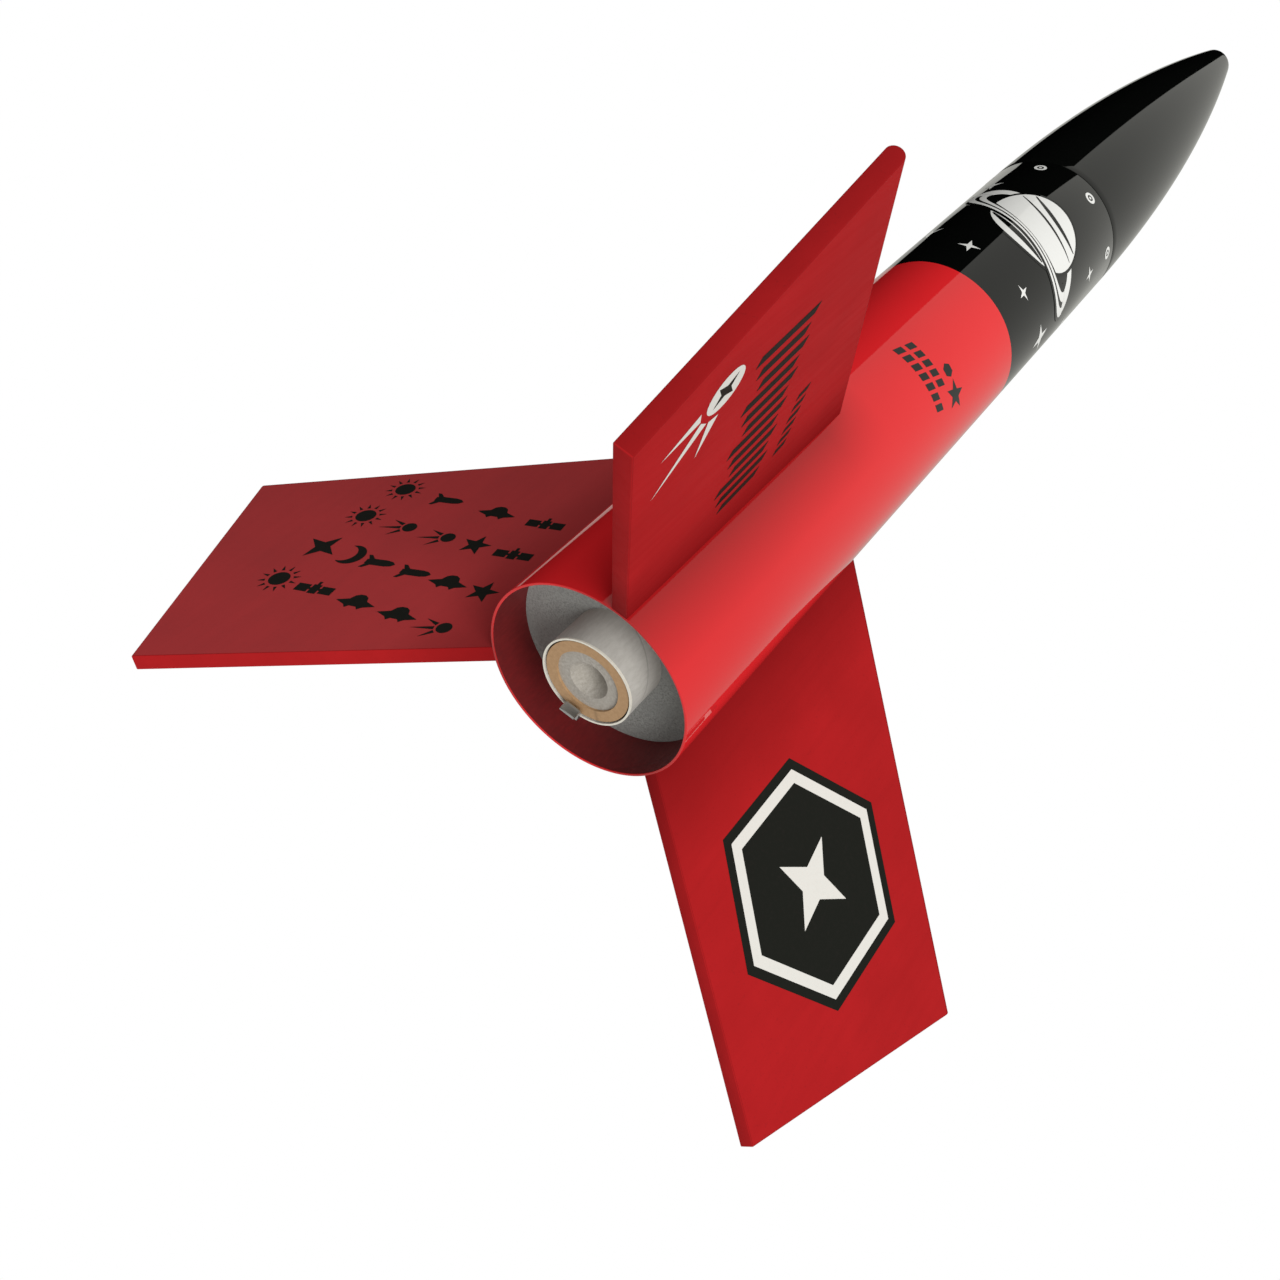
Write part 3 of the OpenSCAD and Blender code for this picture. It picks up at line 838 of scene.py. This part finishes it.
def chute_material():
    """Thin plastic film in two colours, one per gore, with creases."""
    n = Nodes("chute_film")
    crease = n.noise(0.35, 5, 0.65, stretch=(1, 1, 0.35))
    along = n.tree.nodes.new("ShaderNodeAttribute")
    along.attribute_name = ALONG
    gore = n.ramp(n.math("PINGPONG", along.outputs["Fac"], GORE_W), 0.495 * GORE_W, 0.505 * GORE_W)
    color = n.mix(gore, (0.86, 0.20, 0.02), (0.85, 0.84, 0.80))
    color = n.mix(n.ramp(crease, 0.3, 0.7, 0.0, 0.25), color, (0.45, 0.10, 0.02))
    return n.finish(color, n.ramp(crease, 0.2, 0.8, 0.25, 0.45), n.bump(crease, 0.25),
                    Specular_IOR_Level=0.6)


def rolled_chute():
    """The octagonal canopy folded to a strip and rolled into a spiral of its whole area, as it is packed."""
    core_r, end_room = 2.6 * MM, 1.2 * MM
    r0, r1 = core_r, (chute_hi.x - chute_lo.x) / 2 - 0.5 * MM
    z0, z1 = chute_lo.z + end_room, chute_hi.z - end_room
    turns = CHUTE_AREA / (math.pi * (r0 + r1) * (z1 - z0))
    per_turn, rows = 72, 26
    cols = int(turns * per_turn)
    verts, faces, along = [], [], []
    walked, slant = 0.0, 0.8
    for i in range(cols + 1):
        t = i / cols
        a = TAU * turns * t
        r = r0 + (r1 - r0) * t
        walked += TAU * turns / cols * r
        for j in range(rows + 1):
            h = j / rows
            p = Vector((math.cos(a) * r * 60, math.sin(a) * r * 60, h * 5))
            wob = noise.noise(Vector((p.x * 1.6, p.y * 1.6, p.z + t * 3)))
            dent = noise.noise(Vector((math.cos(a) * 1.5, math.sin(a) * 1.5, h * 2.2 + 3.1)))
            dent = 1 - 0.09 * abs(dent)
            to_end = abs(2 * h - 1)
            ragged = noise.noise(Vector((p.x * 3, p.y * 3, 9.1 + 5 * round(h))))
            end = 1.6 * MM * ragged * to_end ** 6
            end -= 1.1 * MM * (t * 9.7 % 1) * to_end ** 8 * (1 if h > 0.5 else -1)
            rr = r * dent + 0.3 * MM * wob * (0.4 + 0.6 * t)
            verts.append((rr * math.cos(a), rr * math.sin(a), z0 + (z1 - z0) * h + end))
            along.append(walked + slant * (z1 - z0) * h)
    for i in range(cols):
        for j in range(rows):
            k = i * (rows + 1) + j
            faces.append((k, k + rows + 1, k + rows + 2, k + 1))
    ob = mesh_object("parachute_roll", verts, faces, [chute_material()], None, 70)
    ob.data.attributes.new(ALONG, "FLOAT", "POINT").data.foreach_set("value", along)
    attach(ob, "recovery")
    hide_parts("parachute_pack")


def wadding_material():
    n = Nodes("wadding_tissue")
    crinkle = n.noise(0.7, 6, 0.7, distortion=1.2)
    color = n.mix(n.ramp(crinkle, 0.35, 0.7), (0.80, 0.80, 0.76), (0.58, 0.58, 0.54))
    return n.finish(color, n.ramp(crinkle, 0.2, 0.8, 0.8, 0.98), n.bump(crinkle, 0.5), Specular_IOR_Level=0.2)


def wadding():
    """Crumpled flame-proof tissue packed into a short plug."""
    bm = bmesh.new()
    bmesh.ops.create_icosphere(bm, subdivisions=6, radius=1.0)
    room = 0.3 * MM
    plug_r = (wad_hi.x - wad_lo.x) / 2 - room
    middle, half = (wad_lo.z + wad_hi.z) / 2, (wad_hi.z - wad_lo.z) / 2 - room
    for v in bm.verts:
        d = v.co.normalized()
        flat = math.hypot(d.x, d.y)
        k = 1.0 / max(flat ** 4 + abs(d.z) ** 4, 1e-9) ** 0.25
        crumple = noise.ridged_multi_fractal(d * 2.4, 0.9, 2.1, 5, 0.9, 2.0, noise_basis="PERLIN_ORIGINAL")
        dent = 0.80 + 0.20 * min(1.0, max(0.0, crumple * 0.55))
        v.co = Vector((d.x * k * plug_r * dent, d.y * k * plug_r * dent, middle + d.z * k * half * dent))
    ob = bmesh_object("wadding_plug", bm, [wadding_material()], 50)
    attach(ob, "recovery")
    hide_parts("recovery_wadding")


rolled_chute()
wadding()


# ---------------------------------------------------------------- floor, light and camera
FLOOR_Z = -0.62
FLOOR_R = 80.0
FLOOR_GLOW = 0.29


def pale_floor():
    n = Nodes("pale_floor")
    color = n.mix(n.ramp(n.noise(0.01, 3), 0.3, 0.7), (0.86, 0.86, 0.86), (0.84, 0.84, 0.84))
    mat = n.finish(color, 0.7, None, Specular_IOR_Level=0.1, Emission_Color=(1, 1, 1, 1),
                   Emission_Strength=FLOOR_GLOW)
    ob = lathe("floor", [(0, FLOOR_Z), (FLOOR_R, FLOOR_Z)], [mat], None, 96)
    ob.visible_glossy = False
    ob.visible_diffuse = False
    ob.visible_shadow = False


pale_floor()

# White ground for the camera, an even glow for the surfaces, and for reflections a softbox with a black card.
AMBIENT = 0.43
SOFTBOX = 0.52
SOFTBOX_TINT = (1, 1, 0.93, 1)
CARD_X = 0.12


def studio_world():
    world = bpy.data.worlds.new("studio")
    bpy.context.scene.world = world
    world.use_nodes = True
    tree = world.node_tree
    background = next(n for n in tree.nodes if n.type == "BACKGROUND")
    ray = tree.nodes.new("ShaderNodeLightPath").outputs
    where = tree.nodes.new("ShaderNodeTexCoord").outputs["Generated"]
    place = tree.nodes.new("ShaderNodeSeparateXYZ")
    tree.links.new(where, place.inputs[0])

    def calc(op, *values):
        n = tree.nodes.new("ShaderNodeMath")
        n.operation = op
        for i, v in enumerate(values):
            if isinstance(v, bpy.types.NodeSocket):
                tree.links.new(v, n.inputs[i])
            else:
                n.inputs[i].default_value = v
        return n.outputs[0]

    def blend(factor, a, b):
        return calc("ADD", calc("MULTIPLY", factor, calc("SUBTRACT", b, a)), a)

    card = calc("MULTIPLY", calc("LESS_THAN", place.outputs[0], CARD_X),
                calc("GREATER_THAN", place.outputs[1], 0.0))
    glossy = calc("MULTIPLY", calc("SUBTRACT", 1.0, card), SOFTBOX)
    level = blend(ray["Is Glossy Ray"], AMBIENT, glossy)
    level = blend(ray["Is Camera Ray"], level, 1.0)
    tree.links.new(level, background.inputs["Strength"])
    tint = tree.nodes.new("ShaderNodeMix")
    tint.data_type = "RGBA"
    tree.links.new(ray["Is Glossy Ray"], tint.inputs[0])
    tint.inputs[6].default_value = (1, 1, 1, 1)
    tint.inputs[7].default_value = SOFTBOX_TINT
    tree.links.new(tint.outputs[2], background.inputs["Color"])


studio_world()


def toward(az, el):
    """Unit vector at an azimuth and an elevation, in degrees."""
    a, e = math.radians(az), math.radians(el)
    return Vector((math.cos(a) * math.cos(e), math.sin(a) * math.cos(e), math.sin(e)))


def sun_light(name, az, el, strength, angle):
    """A broad sun that shines from that direction. Gloss doesn't mirror it."""
    data = bpy.data.lights.new(name, "SUN")
    data.energy = strength
    data.angle = math.radians(angle)
    ob = bpy.data.objects.new(name, data)
    ob.rotation_mode = "QUATERNION"
    ob.rotation_quaternion = toward(az, el).to_track_quat("Z", "Y")
    ob.visible_glossy = False
    bpy.context.collection.objects.link(ob)


sun_light("key", 254.5, -32, 2.3, 35)
sun_light("top", 60, 62, 0.9, 40)

CAM_TARGET = Vector((12.68, -17.16, 74.27)) * MM
CAM_DISTANCE = 312.74 * MM
CAM_AZ, CAM_EL = 216.459, -46.443
CAM_ROLL = math.radians(41.34)


def add_camera():
    away = toward(CAM_AZ, CAM_EL)
    level_right = (-away).cross(Vector((0, 0, 1))).normalized()
    level_up = level_right.cross(-away)
    right = level_right * math.cos(CAM_ROLL) + level_up * math.sin(CAM_ROLL)
    up = away.cross(right)
    spot = CAM_TARGET + away * CAM_DISTANCE
    lens = bpy.data.cameras.new("camera")
    lens.lens = 41.508
    lens.sensor_width = 36
    lens.shift_x = -0.18
    lens.shift_y = -0.075
    lens.clip_start = 0.01
    lens.clip_end = 200
    camera = bpy.data.objects.new("camera", lens)
    camera.matrix_world = Matrix((
        (right.x, up.x, away.x, spot.x),
        (right.y, up.y, away.y, spot.y),
        (right.z, up.z, away.z, spot.z),
        (0, 0, 0, 1)))
    bpy.context.collection.objects.link(camera)
    bpy.context.scene.camera = camera


add_camera()
bpy.context.scene.view_settings.view_transform = "Standard"
